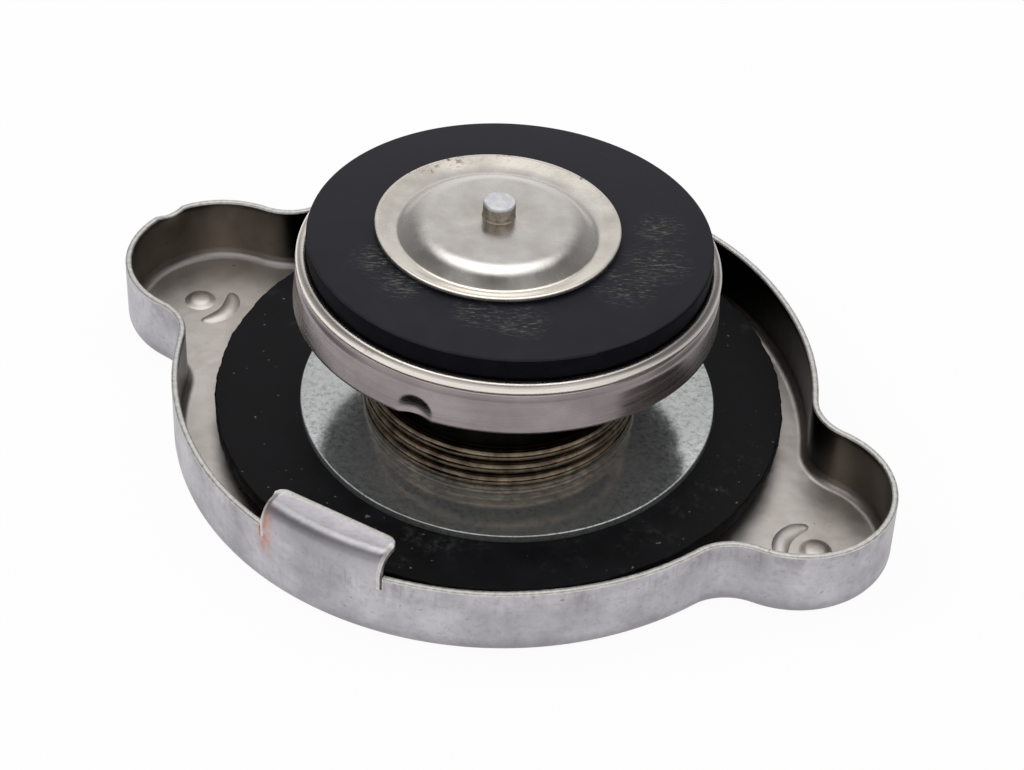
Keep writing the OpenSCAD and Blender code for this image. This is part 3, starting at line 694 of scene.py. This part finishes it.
spring_turns = closed_at_foot + open_turns + closed_at_head
spring_piece = wound("main_spring", main_coil, spring_turns, wire, 72, 16)
bronzed, tree, shader, where = new_finish("bronzed_spring_wire")
cloud = mottle(tree, where, 0.7, 4.0)
colour = paint(tree, ramp(tree, cloud, 0.35, 0.68), tone(90, 79, 67), tone(142, 127, 108))
soot = ramp(tree, mottle(tree, where, 2.2, 4.0, 0.6), 0.55, 0.7)
colour = paint(tree, times(tree, soot, 0.5), colour, tone(46, 36, 27))
coat(tree, shader, colour, ramp(tree, cloud, 0.3, 0.7, 0.12, 0.22), soot, 0.08)
spring_piece.data.materials.append(bronzed)
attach(spring_piece, "clamped_stack")
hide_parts("pressure_spring")
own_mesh(spring_piece)

# Valve pan
# A shallow cup drawn from satin steel that carries the rubber seal: a rolled bead round its shoulder, a
# groove under it, a wall that opens a little downward, and three stakes pushed in at its lower edge.
bell_lip, seal_face = 15.25, 25.65
head_place = (Matrix.Translation((0.599, 0.4514, bell_lip)) @ Matrix.Rotation(-head_lean, 4, "X")
              @ Matrix.Translation((0, 0, seal_face - bell_lip)))
head_axis = Vector((0, sin(head_lean), cos(head_lean)))
pan_radius, pan_edge_radius, pan_top, pan_low, pan_sheet = 22.05, 22.25, -3.0, -8.2, 0.7
pan_floor, valve_hole = pan_top - pan_sheet, 7.6
bead, bead_height, bead_low = 0.75, -3.2, -4.0
wall_top, wall_flare, wall_shares = -4.8, 0.2, [k / 16 for k in range(17)]
pan_outline = [(pan_radius - bead + bead * cos(radians(a)), bead_height + bead * sin(radians(a)))
               for a in range(160, -61, -10)]
pan_outline += [(21.68, -3.97), (21.68, -4.1), (21.74, -4.27), (21.91, -4.48), (22.02, -4.66)]
pan_outline += [(pan_radius + wall_flare * share, wall_top - 3.3 * share) for share in wall_shares]
pan_outline += [(22.23, -8.16), (22.16, pan_low), (21.65, pan_low), (21.57, -8.16)]
pan_outline += [(21.55 - wall_flare * share, -8.1 + 3.1 * share) for share in wall_shares]
pan_outline += [(21.3, -4.7), (21.05, -4.3), (21.05, pan_floor), (valve_hole, pan_floor),
                (valve_hole, pan_top)]
stake_radius, stake_push, stake_lift, stake_first = 2.0, 0.65, 0.6, 275.5
hollow_top, hollow_radius = -3.6, 21.2


def staked(angle, r, z):
    """Pushes the wall in at three hollow stakes that open into the lower edge."""
    if r < 20 or z > wall_top:
        return r, z
    for k in range(3):
        away = (degrees(angle) - stake_first - 120 * k + 180) % 360 - 180
        far = sqrt((radians(away) * pan_edge_radius) ** 2 + (z - pan_low - stake_lift) ** 2) / stake_radius
        r -= stake_push * max(0.0, 1 - far * far) ** 1.4
    return r, z


pan_piece = turned("valve_pan_drawn", pan_outline, 720, head_place, staked, 50)
satin_pan, tree, shader, where = new_finish("satin_pan_steel")
round_lines = mottle(tree, where, 1.0, 3.0, 0.55, stretch=(0.06, 0.06, 3.4))
cloud = mottle(tree, where, 0.16, 3.0)
colour = paint(tree, ramp(tree, cloud, 0.35, 0.68), tone(138, 129, 130), tone(163, 154, 154))
# Painted highlight: the bead above its foot is coloured bright cream.
bead_foot = (head_place @ Vector((0, 0, bead_low))).dot(head_axis)
bead_highlight = ramp(tree, toward(tree, where, head_axis), bead_foot, bead_foot + 0.3)
colour = paint(tree, bead_highlight, colour, tone(244, 236, 228))
colour = paint(tree, ramp(tree, round_lines, 0.58, 0.75, 0.0, 0.2), colour, tone(140, 130, 128))
grime_and_shade = ramp(tree, mottle(tree, where, 0.9, 4.0, 0.6), 0.6, 0.72)
colour = paint(tree, times(tree, grime_and_shade, 0.3), colour, tone(128, 114, 104))
# Painted shade: the wall is coloured darker towards the right side.
right_side_shade = ramp(tree, toward(tree, where, photo_right), 7.0, 20.0, 0.0, 0.6)
colour = paint(tree, right_side_shade, colour, tone(112, 104, 105))
coat(tree, shader, colour, ramp(tree, round_lines, 0.3, 0.7, 0.2, 0.34), round_lines, 0.03)
pan_piece.data.materials.append(satin_pan)

# The pan's hollow underside is dull and painted dark as shade
shaded_hollow = clouded("shaded_pan_hollow", 0.5, tone(60, 57, 55), tone(88, 84, 81), 0.4, 0.6, 0.1)
pan_piece.data.materials.append(shaded_hollow)
from_head = head_place.inverted()
for face in pan_piece.data.polygons:
    middle, facing = from_head @ (face.center / mm), from_head.to_3x3() @ face.normal
    inward = -facing.xy.dot(middle.xy.normalized())
    under_floor = facing.z < -0.95 and middle.xy.length < hollow_radius
    if middle.z < hollow_top and (inward > 0.1 or under_floor):
        face.material_index = 1
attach(pan_piece, "valve_head")
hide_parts("valve_pan")

# Pressure seal
# A thick ring of dark rubber that lies in the pan and closes on the seat in the filler neck.
# Handling has left it scuffed pale round the vacuum disc.
seal_seat, recess_radius, recess_floor = -2.98, 9.7, -0.7
seal_section = soft_section(((valve_hole, seal_seat, 0), (20.3, seal_seat, 0), (20.9, -2.25, 0.3),
                             (21.0, -1.2, 1.0), (20.95, 0, 0.28), (recess_radius, 0, 0),
                             (recess_radius, recess_floor, 0), (valve_hole, recess_floor, 0)))
seal_piece = turned("thick_rubber_seal", seal_section, 256, head_place)


def spot(tree, where, centre, reach):
    """One at a place on the piece, fading to nought at a distance in millimetres."""
    far = add_node(tree, "VectorMath", {0: where, 1: centre}, operation="DISTANCE").outputs["Value"]
    return ramp(tree, far, 0.0, reach, 1.0, 0.0)


def patches(tree, where, place, height, spots):
    """Spots on a turned piece, each by its angle, its radius and its reach, taken together."""
    shown = None
    for angle, radius, reach in spots:
        centre = place @ Matrix.Rotation(radians(angle), 4, "Z") @ Vector((radius, 0, height))
        patch = spot(tree, where, centre, reach)
        shown = either(tree, shown, patch) if shown else patch
    return shown


seal_rubber, tree, shader, where = new_finish("scuffed_dark_rubber")
cloud = mottle(tree, where, 0.25, 5.0)
colour = paint(tree, ramp(tree, cloud, 0.35, 0.7), tone(25, 24, 31), tone(35, 34, 41))
strokes = mottle(tree, where, 1.0, 5.0, 0.7, stretch=(1.1, 5.0, 1.0), turn=-photo_turn)
worn = patches(tree, where, head_place, 0, (
    (232, 14.2, 3.5), (250, 14.0, 3.5), (287, 13.8, 3.2), (303, 14.6, 3.6), (355, 14.2, 4.0),
    (15, 15.4, 4.2), (38, 15.6, 3.2)))
scuffs = times(tree, ramp(tree, strokes, 0.52, 0.7), ramp(tree, worn, 0.0, 0.8))
faint = ramp(tree, strokes, 0.66, 0.8, 0.0, 0.08)
colour = paint(tree, either(tree, times(tree, scuffs, 0.7), faint), colour, tone(138, 138, 122))
coat(tree, shader, colour, ramp(tree, cloud, 0.3, 0.7, 0.46, 0.6), mottle(tree, where, 2.5, 4.0, 0.6), 0.15,
     metal=0.0, shine=0.18)
seal_piece.data.materials.append(seal_rubber)

# The seal's cut side is left unscuffed and painted nearly black as shade, darker than its top
shaded_seal_side = clouded("shaded_black_rubber_side", 0.5, tone(10, 9, 14), tone(17, 16, 21), 0.5, 0.65, 0.1,
                       metal=0.0, shine=0.03)
seal_piece.data.materials.append(shaded_seal_side)
for face in seal_piece.data.polygons:
    face.material_index = 0 if face.normal.z > 0.6 else 1
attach(seal_piece, "valve_head")
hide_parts("pressure_seal")

# Valve eyelet
# A flanged brass tube that clamps the seal to the pan; its lower flange hooks under the bell's lip.
dull_brass = clouded("dull_brass", 0.8, tone(168, 136, 80), tone(206, 178, 116), 0.3, 0.48, 0.1)
dress("valve_eyelet", dull_brass)

# Vacuum disc
# A dished disc pressed from thin satin steel, which lies loose on the seal and opens as the radiator cools.
# Its rim has caught specks of rust, and a yellow stain rings the stub in its middle.
vacuum_shift = Vector((-1.439, -0.177, 0))
vacuum_place = head_place @ Matrix.Translation(vacuum_shift)
disc_radius, stem_radius = 12.7, 1.2
shoulder_r, shoulder_z, shoulder_bend = 7.2, -1.6, 3.5
disc_top = [(stem_radius, 1.88), (4.0, 1.87), (shoulder_r, 1.9)]
disc_top += [(shoulder_r + shoulder_bend * sin(radians(a)), shoulder_z + shoulder_bend * cos(radians(a)))
             for a in range(3, 36, 4)]
disc_top += [(9.55, 1.02), (9.9, 0.775), (10.14, 0.605), (10.25, 0.54), (10.38, 0.5), (10.6, 0.5),
             (11.4, 0.62), (12.3, 0.77), (12.56, 0.8), (12.66, 0.76), (disc_radius, 0.68)]
disc_under = [(disc_radius, 0.4), (12.62, 0.33), (12.5, 0.3), (10.7, 0.0), (10.15, 0.0), (8.9, 0.82),
              (8.1, 1.24), (shoulder_r, 1.4), (stem_radius, 1.4)]
front_edge, disc_tilt = Vector((6.05, -11.05, 0)), radians(0.4)
disc_place = (vacuum_place @ Matrix.Translation(front_edge)
              @ Matrix.Rotation(disc_tilt, 4, Vector(photo_right)) @ Matrix.Translation(-front_edge))
dome_shift, dome_way = 0.85, radians(-61.3)


def off_centre(angle, r, z):
    """Shifts the pressed dome toward one side, leaving the hole and the rim where they are."""
    share = min(1.0, max(0.0, (r - 3) / 3)) * min(1.0, max(0.0, (12.2 - r) / 1.6))
    return r + dome_shift * share * cos(angle - dome_way), z


disc_piece = turned("dished_disc", disc_top + disc_under, 256, disc_place, off_centre)
satin_disc, tree, shader, where = new_finish("satin_disc_steel")
cloud = mottle(tree, where, 0.3, 4.0)
centre = vacuum_place @ Vector((0, 0, 0.5))
# Painted highlight: the flat rim is coloured brighter than the dome, standing in for its brighter
# reflection.
dome = paint(tree, ramp(tree, cloud, 0.35, 0.68), tone(214, 208, 204), tone(226, 221, 216))
rim = paint(tree, ramp(tree, cloud, 0.35, 0.68), tone(228, 221, 211), tone(240, 234, 224))
colour = paint(tree, ramp(tree, spot(tree, where, centre, 20.0), 0.46, 0.5, 1.0, 0.0), dome, rim)
ring_stain = times(tree, spot(tree, where, centre, 4.5),
                   ramp(tree, mottle(tree, where, 0.8, 4.0), 0.35, 0.65))
colour = paint(tree, times(tree, ring_stain, 0.6), colour, tone(196, 180, 146))
freckles = ramp(tree, mottle(tree, where, 1.5, 4.0, 0.6), 0.53, 0.64)
rusty = patches(tree, where, vacuum_place, 0.5, (
    (168, 12.7, 1.6), (158, 12.7, 2.2), (146, 12.7, 2.6), (132, 12.8, 2.0), (118, 12.9, 1.8),
    (74, 12.8, 1.3), (60, 12.8, 1.2), (318, 5.2, 1.3)))
rust = times(tree, freckles, ramp(tree, rusty, 0.0, 0.55))
colour = paint(tree, times(tree, rust, 0.75), colour, tone(118, 88, 66))
coat(tree, shader, colour, ramp(tree, plus(tree, cloud, rust), 0.3, 1.3, 0.17, 0.55),
     mottle(tree, where, 2.0, 4.0, 0.6), 0.08)
disc_piece.data.materials.append(satin_disc)
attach(disc_piece, "vacuum_valve")
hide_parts("vacuum_disc")

# Vacuum stem
# A turned aluminium stem riveted into the disc: its stub stands on top, a collar grips from below,
# and its lower end is closed over the washer.
stem_end, closed_end, stem_collar = -12.0, -11.5, 1.7
stem_section = soft_section(((0, stem_end, 0), (stem_collar, stem_end, 0.15), (stem_collar, closed_end, 0),
                             (stem_radius, closed_end, 0), (stem_radius, 0.9, 0), (stem_collar, 0.9, 0),
                             (stem_collar, 1.4, 0), (stem_radius, 1.4, 0), (stem_radius, 1.88, 0),
                             (1.8, 1.88, 0), (1.68, 2.1, 0.2), (1.69, 3.75, 0.16), (0, 3.72, 0)))
stem_piece = turned("riveted_stem", stem_section, 64, vacuum_place)
aluminium, tree, shader, where = new_finish("dull_aluminium")
cloud = mottle(tree, where, 1.6, 5.0, 0.6)
up = add_node(tree, "SeparateXYZ", {0: where}).outputs["Z"]
# Painted shade: below its top the stub is coloured darker and browner, and the top is left bright.
grime_and_shade = paint(tree, ramp(tree, cloud, 0.38, 0.66), tone(146, 138, 124), tone(190, 183, 170))
top_tone = paint(tree, ramp(tree, cloud, 0.38, 0.66), tone(216, 215, 219), tone(240, 240, 244))
colour = paint(tree, ramp(tree, up, 29.05, 29.3), grime_and_shade, top_tone)
coat(tree, shader, colour, ramp(tree, cloud, 0.3, 0.7, 0.36, 0.56), cloud, 0.25)
stem_piece.data.materials.append(aluminium)
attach(stem_piece, "vacuum_valve")
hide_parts("vacuum_stem")

# Retaining washer
# A small brass washer at the stem's end that holds the vacuum spring.
dress("vacuum_washer", dull_brass)

# Vacuum spring
# Fine bronzed wire in four turns between the eyelet's web and the washer.
fine_top, fine_bottom, fine_radius, fine_wire = -6.6, -10.87, 3.3, 0.5
fine_closed, fine_open = 1.0, 2.0


def fine_coil(turn):
    height = fine_top - fine_bottom - fine_wire
    drop = climb(turn, fine_closed, fine_open, fine_closed, fine_wire + wire_gap, height)
    aside = vacuum_shift * drop / height
    angle = 2 * pi * turn
    return (aside.x + fine_radius * cos(angle), aside.y + fine_radius * sin(angle),
            fine_top - fine_wire / 2 - drop)


fine_turns = 2 * fine_closed + fine_open
fine_piece = wound("fine_spring", fine_coil, fine_turns, fine_wire, 48, 10, head_place)
fine_piece.data.materials.append(bronzed)
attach(fine_piece, "valve_head")
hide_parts("vacuum_spring")
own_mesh(fine_piece)
